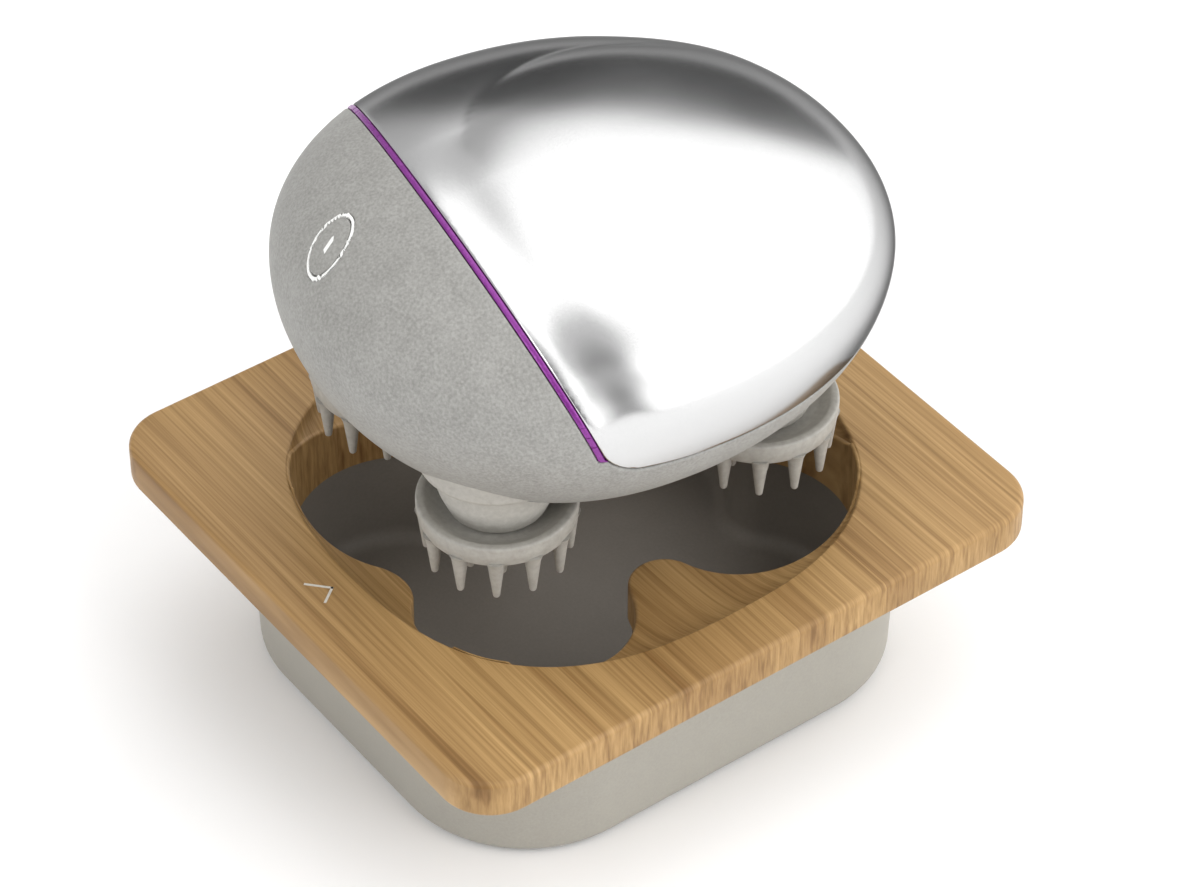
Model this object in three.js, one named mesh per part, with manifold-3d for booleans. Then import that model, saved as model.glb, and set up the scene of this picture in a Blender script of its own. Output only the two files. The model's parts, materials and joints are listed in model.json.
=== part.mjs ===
// Four-head scalp massager hovering over its fitted bamboo stand.
// Millimetres, +Z up. The origin is the centre of the stand's footprint, on the surface it stands on.
// The power button faces -Y. The stand's own pieces are in the stand group; the massager's pieces are
// in a group whose origin lies in the plane of the bristle tips, turned a little about Z.

import * as THREE from 'three';
import { mergeVertices } from 'three/addons/utils/BufferGeometryUtils.js';
import Module from 'manifold-3d';

const wasm = await Module();
wasm.setup();

// ---------------------------------------------------------------- driving dimensions

const GAP = 0.3; // clearance between neighbouring pieces
const TOUCH = 0.05; // gap between a foot and the box that it is stuck to
const MARGIN = 1; // how far a cutting tool runs past what it cuts

// Stand.
const FOOT = { height: 1, radius: 4, inset: 17 };
const PLATE = { x: 115, y: 124.6, thickness: 8, corner: 10 };
const PLUG = { depth: 16.1, clearance: 0.4 };
const BOX = { x: 93.6, y: 103.8, corner: 26.5, height: 32.4, wall: 2, floor: 1.5, draft: 1, edge: 2.2 };
const DISH = { x: 46.6, y: 48, power: 2.6, depth: 8.3, drop: 6 };
const LOBE = { x: 19, y: 24.8, radius: 19.6, tipX: 20.7, tipY: 37 };
const TRAY = { wall: 1.2, flange: 1.2, floor: 1.4, step: 0.8 };

// Massager, measured from the plane of its bristle tips.
const HOVER = 8.6; // bristle tips above the bamboo's top face
const YAW = THREE.MathUtils.degToRad(-7);
const BODY = {
  halfWidth: 50.4,
  front: 50.2,
  back: 57.7,
  equator: 41.8,
  above: 24,
  below: 36,
  planPower: 2.12,
  upperPower: 2.065,
  lowerPower: 1.925,
  offsetY: -1.3,
  lean: 0.094,
  tilt: -0.028,
};
const WALL = 2.2;
const SEAM = { slope: 0.386, skew: THREE.MathUtils.degToRad(3.4), offset: -3.7, strip: 1.3, stripDepth: 1.8 };
const BELT_Z = 34.5; // lower edge of the silver shell
const COVER_Z = 18.4; // joint between the grey body and the bottom cover
const BASE_Z = 14.4; // flat underside
const GASKET = { thickness: 1, low: 18, high: 19.8 };

// Massage heads and their drive.
const HEAD = { x: 20.1, rim: 14.1, rimTop: 12.5, low: 8, floor: 10.2, lip: 1.6, slope: 2.8, edge: 0.6 };
const BRISTLES = { outer: 12, outerRadius: 12.4, inner: 8, innerRadius: 7.6, base: 1.35, tip: 0.55 };
const COLLAR = { low: 11, top: 22.5, lowRadius: 8.6, radius: 10.6, bossLow: 20.6, boss: 13.85, bossTop: 31 };
const SHAFT = { radius: 3, foot: 5.2, footHeight: 1.6, pivot: 1.5 };
const SEAL = { radius: 6, height: 2.2 };
const MODULE = 1;
const TEETH = { head: 16, sun: 50, small: 12, big: 30, motor: 10 };
const GEAR = { low: 24.4, height: 4, upperLow: 29.6, upperHeight: 3 };
const DECK = { low: 34.2, thickness: 2, x: 36, y: 40, shift: 2, post: 2, motorHole: 2.6 };
const AXLE = { sun: 2, compound: 1.5, motor: 1, foot: 2.6, footHeight: 0.8 };
const POST = { x: 26.6, y: 9.5 };
const SCREW = { head: 2.4, radius: 1, sink: 1.3, length: 10 };
const MOTOR = { radius: 11.5, height: 20, edge: 0.8, bore: 2.6 };
const BATTERY = { radius: 8, length: 48, y: -14 };
const BOARD = { x: 32, thickness: 1.6, low: 39, height: 17, y: -27.5 };
const BUTTON = {
  x: -4,
  y: -43,
  z: 55,
  pitch: THREE.MathUtils.degToRad(42),
  radius: 5.8,
  ring: 0.6,
  travel: 0.8,
  stem: -7,
  stemRadius: 1.6,
  in: -9,
  out: 12,
};
const SWITCH = { side: 6, depth: 3 };
const PORT = { x: 12, z: 7, low: 23.6, from: 38.7, to: 68.7 };
const SOCKET = { x: 9, y: 6, z: 3.4, wall: 0.6, back: 38.7 };

// ---------------------------------------------------------------- materials

const finish = (color, roughness, metalness = 0) =>
  new THREE.MeshStandardMaterial({ color, roughness, metalness });

const MATERIAL = {
  bamboo: () => finish(0xa3814f, 0.55),
  greyCase: () => finish(0x9b978f, 0.6),
  greyBody: () => finish(0xa2a19d, 0.7),
  silver: () => finish(0xe4e4e3, 0.22, 0.35),
  purple: () => finish(0x8c2f96, 0.35, 0.3),
  silicone: () => finish(0x99958e, 0.65),
  white: () => finish(0xf2f2f0, 0.5),
  rubber: () => finish(0x3c3b3a, 0.8),
  nylon: () => finish(0xe6e2d6, 0.5),
  steel: () => finish(0xb9bcc0, 0.3, 0.9),
  board: () => finish(0x2d6b45, 0.5),
  cell: () => finish(0x3d6fa8, 0.45),
};

// ---------------------------------------------------------------- solids

// Any closed geometry as a manifold, from its positions alone.
function solid(geometry) {
  const bare = new THREE.BufferGeometry();
  bare.setAttribute('position', geometry.getAttribute('position'));
  bare.setIndex(geometry.getIndex());
  const merged = mergeVertices(bare, 1e-5);
  return new wasm.Manifold(
    new wasm.Mesh({
      numProp: 3,
      vertProperties: new Float32Array(merged.getAttribute('position').array),
      triVerts: new Uint32Array(merged.getIndex().array),
    }),
  );
}

// A manifold back as a flat-shaded geometry.
function geometryOf(manifold) {
  const { vertProperties, triVerts } = manifold.getMesh();
  const geometry = new THREE.BufferGeometry();
  geometry.setAttribute('position', new THREE.BufferAttribute(new Float32Array(vertProperties), 3));
  geometry.setIndex(new THREE.BufferAttribute(new Uint32Array(triVerts), 1));
  geometry.computeVertexNormals();
  return geometry;
}

const unite = (first, ...rest) => rest.reduce((sum, next) => sum.add(next), first);
const cut = (first, ...rest) => rest.reduce((left, next) => left.subtract(next), first);

function extrude(shape, low, high, curveSegments = 10) {
  const settings = { depth: high - low, bevelEnabled: false, curveSegments };
  return solid(new THREE.ExtrudeGeometry(shape, settings).translate(0, 0, low));
}

function disc(radius, low, high, x = 0, y = 0, segments = 18) {
  const geometry = new THREE.CylinderGeometry(radius, radius, high - low, segments);
  return solid(geometry.rotateX(Math.PI / 2).translate(x, y, (low + high) / 2));
}

function block(x, y, z, cx, cy, cz) {
  return solid(new THREE.BoxGeometry(x, y, z).translate(cx, cy, cz));
}

// A turned solid: profile is a list of [radius, z] that starts and ends on the axis.
function turned(profile, segments = 24) {
  const points = profile.map(([r, z]) => new THREE.Vector2(r, z));
  return solid(new THREE.LatheGeometry(points, segments).rotateX(Math.PI / 2));
}

function roundedRectangle(x, y, radius) {
  const shape = new THREE.Shape();
  const w = x / 2 - radius;
  const h = y / 2 - radius;
  shape.absarc(w, h, radius, 0, Math.PI / 2);
  shape.absarc(-w, h, radius, Math.PI / 2, Math.PI);
  shape.absarc(-w, -h, radius, Math.PI, Math.PI * 1.5);
  shape.absarc(w, -h, radius, Math.PI * 1.5, Math.PI * 2);
  shape.closePath();
  return shape;
}

// ---------------------------------------------------------------- stand

const BOX_TOP = FOOT.height + BOX.height;
const PLATE_TOP = BOX_TOP + PLATE.thickness;
const PLUG_LOW = PLATE_TOP - PLUG.depth;

// Cloverleaf outline: four lobes joined by round tips on the X and Y axes.
// A tip's radius is the one that touches both lobes beside it.
function cloverleaf(grow = 0) {
  const radius = LOBE.radius + grow;
  const touching = (along, across, tip) => {
    const d = tip - along;
    return (d * d + across * across - radius * radius) / (2 * (radius - d));
  };
  const tipX = LOBE.tipX + grow;
  const tipY = LOBE.tipY + grow;
  const rx = touching(LOBE.x, LOBE.y, tipX);
  const ry = touching(LOBE.y, LOBE.x, tipY);
  const fromX = Math.atan2(LOBE.y, LOBE.x - (tipX + rx));
  const fromY = Math.atan2(LOBE.y - (tipY + ry), LOBE.x);
  const corners = [];
  const arc = (cx, cy, r, start, end, steps) => {
    for (let i = 0; i < steps; i += 1) {
      const a = start + ((end - start) * i) / steps;
      corners.push([cx + r * Math.cos(a), cy + r * Math.sin(a)]);
    }
  };
  arc(tipX + rx, 0, rx, Math.PI, fromX, 4);
  arc(LOBE.x, LOBE.y, radius, fromX - Math.PI, Math.PI + fromY, 12);
  arc(0, tipY + ry, ry, fromY, -Math.PI / 2, 4);
  const quarter = [...corners, [0, tipY]];
  const half = [...quarter, ...quarter.slice(0, -1).reverse().map(([x, y]) => [-x, y])];
  const outline = [...half, ...half.slice(1, -1).reverse().map(([x, y]) => [x, -y])];
  return new THREE.Shape(outline.map(([x, y]) => new THREE.Vector2(x, y)));
}

// Shallow dish that the massager's underside rests in, as a cutting tool.
function dishTool() {
  const around = 40;
  const rings = [0, 0.5, 0.75, 0.88, 0.95, 0.985, 1];
  const positions = [];
  const index = [];
  const point = (ring, i, z) => {
    const a = (i / around) * Math.PI * 2;
    const c = Math.cos(a);
    const s = Math.sin(a);
    const x = DISH.x * Math.sign(c) * Math.abs(c) ** (2 / DISH.power) * ring;
    const y = DISH.y * Math.sign(s) * Math.abs(s) ** (2 / DISH.power) * ring;
    positions.push(x, y, z);
  };
  positions.push(0, 0, PLATE_TOP - DISH.depth);
  for (const ring of rings.slice(1)) {
    const depth = DISH.depth * Math.sqrt(Math.max(0, 1 - ring ** DISH.drop));
    for (let i = 0; i < around; i += 1) point(ring, i, PLATE_TOP - depth);
  }
  for (let i = 0; i < around; i += 1) point(1, i, PLATE_TOP + MARGIN);
  positions.push(0, 0, PLATE_TOP + MARGIN);
  const at = (ring, i) => 1 + ring * around + (i % around);
  const last = rings.length - 1;
  for (let i = 0; i < around; i += 1) {
    index.push(0, at(0, i + 1), at(0, i));
    for (let ring = 0; ring < last; ring += 1) {
      index.push(at(ring, i), at(ring, i + 1), at(ring + 1, i));
      index.push(at(ring, i + 1), at(ring + 1, i + 1), at(ring + 1, i));
    }
    index.push(positions.length / 3 - 1, at(last, i), at(last, i + 1));
  }
  const geometry = new THREE.BufferGeometry();
  geometry.setAttribute('position', new THREE.Float32BufferAttribute(positions, 3));
  geometry.setIndex(index);
  return solid(geometry);
}

function boxInside(clearance) {
  const shrink = 2 * (BOX.wall + clearance);
  return roundedRectangle(BOX.x - shrink, BOX.y - shrink, BOX.corner - BOX.wall - clearance);
}

function bambooPlate() {
  const top = extrude(roundedRectangle(PLATE.x, PLATE.y, PLATE.corner), BOX_TOP + GAP, PLATE_TOP, 6);
  const plug = extrude(boxInside(PLUG.clearance), PLUG_LOW, BOX_TOP + MARGIN, 10);
  const opening = extrude(cloverleaf(), PLUG_LOW - MARGIN, PLATE_TOP + MARGIN);
  return cut(top.add(plug), dishTool(), opening);
}

// The box narrows a little towards its foot and is open at the top.
function standBox() {
  const bend = BOX.edge * (1 - Math.SQRT1_2);
  const levels = [
    [FOOT.height, BOX.edge],
    [FOOT.height + bend, bend],
    [FOOT.height + BOX.edge, 0],
    [BOX_TOP, -BOX.draft],
  ];
  const steps = 9;
  const positions = [];
  const index = [];
  const around = 4 * (steps + 1);
  for (const [z, inset] of levels) {
    const radius = BOX.corner - BOX.draft - inset;
    for (let i = 0; i < around; i += 1) {
      const corner = Math.floor(i / (steps + 1));
      const a = (Math.PI / 2) * (corner + (i % (steps + 1)) / steps);
      const sx = corner === 0 || corner === 3 ? 1 : -1;
      const sy = corner < 2 ? 1 : -1;
      positions.push(sx * (BOX.x / 2 - BOX.corner) + radius * Math.cos(a));
      positions.push(sy * (BOX.y / 2 - BOX.corner) + radius * Math.sin(a), z);
    }
  }
  positions.push(0, 0, FOOT.height, 0, 0, BOX_TOP);
  const low = levels.length * around;
  for (let i = 0; i < around; i += 1) {
    const j = (i + 1) % around;
    index.push(low, j, i);
    for (let level = 0; level < levels.length - 1; level += 1) {
      const a = level * around;
      index.push(a + i, a + j, a + around + i, a + j, a + around + j, a + around + i);
    }
    const top = (levels.length - 1) * around;
    index.push(low + 1, top + i, top + j);
  }
  const geometry = new THREE.BufferGeometry();
  geometry.setAttribute('position', new THREE.Float32BufferAttribute(positions, 3));
  geometry.setIndex(index);
  const hollow = extrude(boxInside(0), FOOT.height + BOX.floor, BOX_TOP + MARGIN);
  return cut(solid(geometry), hollow);
}

// Moulded tray under the bamboo: a flange, a cloverleaf wall and a floor.
function wellTray() {
  const flangeTop = PLUG_LOW - GAP;
  const floorLow = FOOT.height + BOX.floor + GAP;
  const flange = extrude(boxInside(PLUG.clearance), flangeTop - TRAY.flange, flangeTop, 10);
  const outside = extrude(cloverleaf(TRAY.step + TRAY.wall), floorLow, flangeTop - TRAY.flange / 2);
  const inside = extrude(cloverleaf(TRAY.step), floorLow + TRAY.floor, flangeTop + MARGIN);
  return cut(flange.add(outside), inside);
}

function standFoot(x, y) {
  return disc(FOOT.radius, 0, FOOT.height - TOUCH, x, y, 16);
}

// ---------------------------------------------------------------- massager body form

// Closed egg-like form. Inset moves the whole surface inwards.
function bodyForm(inset = 0, around = 32, rows = 14) {
  const { halfWidth, front, back, equator, above, below, offsetY, lean, tilt } = BODY;
  const power = (value, exponent) => Math.sign(value) * Math.abs(value) ** exponent;
  const positions = [];
  const index = [];
  const push = (c, s, k, rise) => {
    const x = (halfWidth - inset) * k * power(c, 2 / BODY.planPower);
    const reach = (s > 0 ? back : front) - inset;
    const along = reach * k * power(s, 2 / BODY.planPower);
    const lift = rise + tilt * along;
    positions.push(x, along + lean * lift + offsetY, equator + lift);
  };
  for (let j = 0; j <= rows; j += 1) {
    const t = -Math.PI / 2 + (Math.PI * j) / rows;
    const upper = t >= 0;
    const e = upper ? BODY.upperPower : BODY.lowerPower;
    const reach = (upper ? above : below) - inset;
    const rise = reach * power(Math.sin(t), 2 / e);
    if (j === 0 || j === rows) {
      push(1, 0, 0, rise);
      continue;
    }
    const k = Math.cos(t) ** (2 / e);
    for (let i = 0; i < around; i += 1) {
      const a = (i / around) * Math.PI * 2;
      push(Math.cos(a), Math.sin(a), k, rise);
    }
  }
  const at = (row, i) => 1 + (row - 1) * around + (i % around);
  const top = positions.length / 3 - 1;
  for (let i = 0; i < around; i += 1) {
    index.push(0, at(1, i + 1), at(1, i));
    for (let row = 1; row < rows - 1; row += 1) {
      index.push(at(row, i), at(row, i + 1), at(row + 1, i));
      index.push(at(row, i + 1), at(row + 1, i + 1), at(row + 1, i));
    }
    index.push(top, at(rows - 1, i), at(rows - 1, i + 1));
  }
  const geometry = new THREE.BufferGeometry();
  geometry.setAttribute('position', new THREE.Float32BufferAttribute(positions, 3));
  geometry.setIndex(index);
  return solid(geometry);
}

const REACH = 160; // larger than the massager, for half-space tools

// Half-space behind the seam plane, which leans back and is a little skewed, moved back by shift.
function behindSeam(shift) {
  const angle = Math.atan(SEAM.slope);
  const tool = new THREE.BoxGeometry(REACH, REACH, REACH).translate(0, REACH / 2 + shift, 0);
  return solid(tool.rotateX(angle).rotateZ(-SEAM.skew).translate(0, SEAM.offset, 0));
}

const aboveLevel = (z) => block(REACH, REACH, REACH, 0, 0, z + REACH / 2);
const belowLevel = (z) => block(REACH, REACH, REACH, 0, 0, z - REACH / 2);

// The four head axes stand where the head gears mesh with the sun gear. Their order is front left,
// front right, back right, back left.
const pitchRadius = (teeth) => (MODULE * teeth) / 2;
const HEAD_Y = Math.sqrt((pitchRadius(TEETH.sun) + pitchRadius(TEETH.head)) ** 2 - HEAD.x ** 2);
const HEAD_AXES = [
  [-HEAD.x, -HEAD_Y],
  [HEAD.x, -HEAD_Y],
  [HEAD.x, HEAD_Y],
  [-HEAD.x, HEAD_Y],
];

// Room for the collars: a hole round each neck and a wider one round its boss.
function collarHoles() {
  const { radius, boss, bossLow, bossTop } = COLLAR;
  const holes = HEAD_AXES.map(([x, y]) => {
    const neck = disc(radius + GAP, 0, bossLow + MARGIN, x, y);
    return neck.add(disc(boss + GAP, bossLow - GAP, bossTop + GAP, x, y, 24));
  });
  return unite(...holes);
}

const outerForm = bodyForm();
const skin = cut(outerForm, bodyForm(WALL));

// A geometry made along +Y, turned to stand on the power button's axis, which leans forwards and up.
const onButtonAxis = (geometry) =>
  solid(geometry.rotateX(Math.PI - BUTTON.pitch).translate(BUTTON.x, BUTTON.y, BUTTON.z));

// Cylinder along that axis, from inside the case out through its wall.
function buttonTool(radius, from = BUTTON.in, to = BUTTON.out, segments = 20) {
  const geometry = new THREE.CylinderGeometry(radius, radius, to - from, segments);
  return onButtonAxis(geometry.translate(0, (from + to) / 2, 0));
}

const portTool = (grow) => {
  const height = PORT.z + 2 * grow;
  const y = (PORT.from + PORT.to) / 2;
  return block(PORT.x + 2 * grow, PORT.to - PORT.from, height, 0, y, PORT.low + PORT.z / 2);
};

function topShell() {
  return skin.intersect(behindSeam(SEAM.strip + GAP)).intersect(aboveLevel(BELT_Z));
}

function accentStrip() {
  const inner = bodyForm(SEAM.stripDepth);
  const band = cut(outerForm, inner).intersect(aboveLevel(BELT_Z));
  return cut(band.intersect(behindSeam(0)), behindSeam(SEAM.strip));
}

function bodyShell() {
  const silverSpace = behindSeam(-GAP).intersect(aboveLevel(BELT_Z - GAP));
  const rest = cut(skin.intersect(aboveLevel(COVER_Z + GAP)), silverSpace);
  return cut(rest, buttonTool(BUTTON.radius + BUTTON.ring + 2 * GAP), portTool(GAP), collarHoles());
}

// A disc of the skin with a stem behind it.
function powerButton() {
  const stem = buttonTool(BUTTON.stemRadius, BUTTON.stem, MARGIN, 12).intersect(bodyForm(WALL / 2));
  return skin.intersect(buttonTool(BUTTON.radius, BUTTON.stem)).add(stem);
}

function buttonRing() {
  const band = cut(outerForm, bodyForm(WALL / 2));
  const ring = band.intersect(buttonTool(BUTTON.radius + BUTTON.ring + GAP));
  return cut(ring, buttonTool(BUTTON.radius + GAP, BUTTON.in - MARGIN, BUTTON.out + MARGIN));
}

// Thin flap flush with the outside of the skin; the hole behind it goes right through.
function portPlug() {
  return cut(outerForm, bodyForm(WALL / 2)).intersect(portTool(0));
}

// Bottom cover: the lowest part of the skin closed by a flat floor.
function basePlate() {
  const outside = outerForm.intersect(belowLevel(COVER_Z)).intersect(aboveLevel(BASE_Z));
  const inside = bodyForm(WALL).intersect(aboveLevel(BASE_Z + WALL));
  const holes = postPlaces().map(([x, y]) => {
    const through = disc(SCREW.radius + GAP, 0, BASE_Z + 2 * WALL, x, y, 10);
    return through.add(disc(SCREW.head + GAP, 0, BASE_Z + SCREW.sink + GAP, x, y, 10));
  });
  return cut(outside, inside, collarHoles(), ...holes);
}

// Seal just inside the skin, which goes round the inner side of each collar.
function baseGasket() {
  const { thickness, low, high } = GASKET;
  const inset = WALL + 2 * GAP;
  const space = bodyForm(inset, 24, 12).intersect(aboveLevel(low)).intersect(belowLevel(high));
  const round = HEAD_AXES.map(([x, y]) => disc(COLLAR.radius + GAP + thickness, 0, COLLAR.top, x, y));
  const band = cut(space, bodyForm(inset + thickness, 24, 12));
  return cut(band.add(space.intersect(unite(...round))), collarHoles());
}

// ---------------------------------------------------------------- massage heads

// A blunt cone that hangs below the height top.
function bristle(length, x, y, top) {
  const { base, tip } = BRISTLES;
  const profile = [
    [0, -length],
    [tip, -length],
    [base, 0],
    [0, 1],
  ];
  return turned(profile, 4).translate([x, y, top]);
}

// Dished disc with two rings of bristles below it and a pocket above for the shaft's foot.
function bristleHead(x, y) {
  const { rim, rimTop, low, floor, lip, slope, edge } = HEAD;
  const profile = [
    [0, low],
    [rim - 1, low],
    [rim, low + 1],
    [rim, rimTop - edge],
    [rim - edge, rimTop],
    [rim - lip, rimTop],
    [rim - lip - slope, floor],
    [SHAFT.foot + GAP, floor],
    [SHAFT.foot + GAP, low + 1],
    [0, low + 1],
  ];
  const parts = [turned(profile, 16)];
  const ring = (count, radius, length, phase) => {
    for (let i = 0; i < count; i += 1) {
      const a = ((i + phase) / count) * Math.PI * 2;
      parts.push(bristle(length, radius * Math.cos(a), radius * Math.sin(a), low + 0.2));
    }
  };
  ring(BRISTLES.outer, BRISTLES.outerRadius, low + 0.2, 0);
  ring(BRISTLES.inner, BRISTLES.innerRadius, low - 1, 0.5);
  return unite(...parts).translate([x, y, 0]);
}

// Foot disc, shaft through the collar, shoulder for the gear and a thin upper pivot.
function headShaft(x, y) {
  const low = HEAD.low + 1 + GAP;
  const profile = [
    [0, low],
    [SHAFT.foot, low],
    [SHAFT.foot, low + SHAFT.footHeight],
    [SHAFT.radius, low + SHAFT.footHeight + 0.4],
    [SHAFT.radius, GEAR_TOP],
    [SHAFT.pivot, GEAR_TOP],
    [SHAFT.pivot, DECK_TOP],
    [0, DECK_TOP],
  ];
  return turned(profile, 14).translate([x, y, 0]);
}

// Neck round the shaft with a seal pocket at its foot. The wider boss above it comes through the skin
// on the side away from the body's middle; inside the body it stops at the height top.
function headCollar(x, y) {
  const { low, top, lowRadius, radius, boss, bossLow, bossTop } = COLLAR;
  const bore = SHAFT.radius + GAP;
  const profile = [
    [bore, low + SEAL.height],
    [SEAL.radius, low + SEAL.height],
    [SEAL.radius, low],
    [lowRadius - 0.6, low],
    [lowRadius, low + 0.6],
    [radius, low + 5],
    [radius, bossLow],
    [boss - 0.7, bossLow + 1.2],
    [boss, bossLow + 2],
    [boss, bossTop],
    [bore, bossTop],
    [bore, low + SEAL.height],
  ];
  const inside = bodyForm(WALL).intersect(aboveLevel(top));
  return cut(turned(profile, 20).translate([x, y, 0]), inside);
}

function shaftSeal(x, y) {
  const inner = SHAFT.radius + GAP / 2;
  const outer = SEAL.radius - GAP;
  const low = COLLAR.low + GAP;
  const high = COLLAR.low + SEAL.height - GAP;
  const profile = [
    [inner, low],
    [outer, low],
    [outer, high],
    [inner, high],
    [inner, low],
  ];
  return turned(profile, 14).translate([x, y, 0]);
}

// ---------------------------------------------------------------- gear train

// Spur gear outline: thin trapezoid teeth, so that meshing gears keep some backlash.
function gearSolid(teeth, low, high, phase, bore) {
  const pitch = pitchRadius(teeth);
  const root = pitch - 1.3 * MODULE;
  const tip = pitch + 0.8 * MODULE;
  const tooth = (Math.PI * 2) / teeth;
  const shape = new THREE.Shape();
  const corners = [
    [root, -0.3],
    [tip, -0.1],
    [tip, 0.1],
    [root, 0.3],
  ];
  for (let i = 0; i < teeth; i += 1) {
    for (const [radius, share] of corners) {
      const a = phase + (i + share) * tooth;
      const x = radius * Math.cos(a);
      const y = radius * Math.sin(a);
      if (i === 0 && share === -0.3) shape.moveTo(x, y);
      else shape.lineTo(x, y);
    }
  }
  shape.closePath();
  return cut(extrude(shape, low, high), disc(bore, low - MARGIN, high + MARGIN, 0, 0, 12));
}

// Phase of a gear that meshes with one already placed: the line of centres runs at the angle `along`.
function meshedPhase(firstTeeth, firstPhase, teeth, along) {
  const first = ((along - firstPhase) * firstTeeth) / (Math.PI * 2);
  return along + Math.PI - ((0.5 - first) * Math.PI * 2) / teeth;
}

const COMPOUND_Y = pitchRadius(TEETH.sun) + pitchRadius(TEETH.small);
const MOTOR_Y = COMPOUND_Y - pitchRadius(TEETH.big) - pitchRadius(TEETH.motor);
const SUN_PHASE = 0;
const SMALL_PHASE = meshedPhase(TEETH.sun, SUN_PHASE, TEETH.small, Math.PI / 2);
const MOTOR_PHASE = meshedPhase(TEETH.big, SMALL_PHASE, TEETH.motor, -Math.PI / 2);
const GEAR_TOP = GEAR.low + GEAR.height;
const UPPER_TOP = GEAR.upperLow + GEAR.upperHeight;
const DECK_TOP = DECK.low + DECK.thickness;

function sunGear() {
  return gearSolid(TEETH.sun, GEAR.low, GEAR_TOP, SUN_PHASE, AXLE.sun + GAP);
}

function compoundGear() {
  const small = gearSolid(TEETH.small, GEAR.low, GEAR.upperLow + MARGIN, SMALL_PHASE, AXLE.compound + GAP);
  const big = gearSolid(TEETH.big, GEAR.upperLow, UPPER_TOP, SMALL_PHASE, AXLE.compound + GAP);
  return small.add(big).translate([0, COMPOUND_Y, 0]);
}

function headGear(x, y) {
  const phase = meshedPhase(TEETH.sun, SUN_PHASE, TEETH.head, Math.atan2(y, x));
  return gearSolid(TEETH.head, GEAR.low, GEAR_TOP, phase, SHAFT.radius + GAP).translate([x, y, 0]);
}

function motorPinion() {
  const pinion = gearSolid(TEETH.motor, GEAR.upperLow, UPPER_TOP, MOTOR_PHASE, AXLE.motor / 2);
  const shaft = disc(AXLE.motor, GEAR.upperLow - GAP, DECK_TOP + MOTOR.bore / 2, 0, 0, 14);
  const collar = disc(2 * AXLE.motor, UPPER_TOP - GAP, UPPER_TOP + MARGIN, 0, 0, 14);
  return unite(pinion, shaft, collar).translate([0, MOTOR_Y, 0]);
}

// Fixed axle with a flange at its foot.
function axle(radius, y) {
  const foot = BASE_Z + WALL + GAP;
  const profile = [
    [0, foot],
    [AXLE.foot, foot],
    [AXLE.foot, foot + AXLE.footHeight],
    [radius, foot + AXLE.footHeight],
    [radius, DECK_TOP],
    [0, DECK_TOP],
  ];
  return turned(profile, 16).translate([0, y, 0]);
}

// ---------------------------------------------------------------- deck and electrics

function postPlaces() {
  return [
    [POST.x, POST.y],
    [-POST.x, POST.y],
    [-POST.x, -POST.y],
    [POST.x, -POST.y],
  ];
}

// Plate that carries the motor and the upper pivots, on four posts.
function gearDeck() {
  const shape = new THREE.Shape();
  shape.absellipse(0, DECK.shift, DECK.x, DECK.y, 0, Math.PI * 2);
  const plate = extrude(shape, DECK.low, DECK_TOP, 14);
  const postFoot = BASE_Z + WALL + GAP;
  const pilotTop = BASE_Z + SCREW.length + GAP;
  const posts = postPlaces().map(([x, y]) => disc(DECK.post, postFoot, DECK.low + GAP, x, y, 10));
  const pilots = postPlaces().map(([x, y]) => disc(SCREW.radius + GAP, BASE_Z, pilotTop, x, y, 8));
  const hole = (radius, x, y) => disc(radius, DECK.low - MARGIN, DECK_TOP + MARGIN, x, y, 12);
  const pivots = HEAD_AXES.map(([x, y]) => hole(SHAFT.pivot + GAP, x, y));
  const axles = [
    hole(AXLE.sun + GAP, 0, 0),
    hole(AXLE.compound + GAP, 0, COMPOUND_Y),
    hole(DECK.motorHole, 0, MOTOR_Y),
  ];
  return cut(unite(plate, ...posts), ...pilots, ...pivots, ...axles);
}

// Can with a blind hole at its foot for the pinion's shaft.
function motorCan() {
  const low = DECK_TOP + GAP;
  const { radius, height, edge, bore } = MOTOR;
  const inner = AXLE.motor + GAP;
  const profile = [
    [0, low + bore],
    [inner, low + bore],
    [inner, low],
    [radius - edge, low],
    [radius, low + edge],
    [radius, low + height - edge],
    [radius - edge, low + height],
    [0, low + height],
  ];
  return turned(profile, 22).translate([0, MOTOR_Y, 0]);
}

function batteryCell() {
  const z = DECK_TOP + GAP + BATTERY.radius;
  const half = BATTERY.length / 2;
  const profile = [
    [0, -half],
    [BATTERY.radius, -half],
    [BATTERY.radius, half - 1],
    [BATTERY.radius - 1, half],
    [2.5, half],
    [2.5, half + 1.2],
    [0, half + 1.2],
  ];
  return turned(profile, 18).rotate([0, 90, 0]).translate([0, BATTERY.y, z]);
}

function circuitBoard() {
  return block(BOARD.x, BOARD.thickness, BOARD.height, 0, BOARD.y, BOARD.low + BOARD.height / 2);
}

// Push switch behind the button's stem, on the button's axis.
function powerSwitch() {
  const { side, depth } = SWITCH;
  const top = BUTTON.stem - BUTTON.travel - GAP;
  return onButtonAxis(new THREE.BoxGeometry(side, depth, side).translate(0, top - depth / 2, 0));
}

// Metal shell with a closed back, whose mouth faces the hole in the skin.
function chargeSocket() {
  const { x, y, z, wall, back } = SOCKET;
  const middle = PORT.low + PORT.z / 2;
  const shell = block(x, y, z, 0, back + y / 2, middle);
  return cut(shell, block(x - 2 * wall, y, z - 2 * wall, 0, back + y / 2 + 1.5, middle));
}

function baseScrew(x, y) {
  const profile = [
    [0, BASE_Z + GAP],
    [SCREW.head, BASE_Z + GAP],
    [SCREW.head, BASE_Z + SCREW.sink - 0.4],
    [SCREW.radius, BASE_Z + SCREW.sink],
    [SCREW.radius, BASE_Z + SCREW.length - 1],
    [0, BASE_Z + SCREW.length],
  ];
  return turned(profile, 10).translate([x, y, 0]);
}

// ---------------------------------------------------------------- assembly

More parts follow.
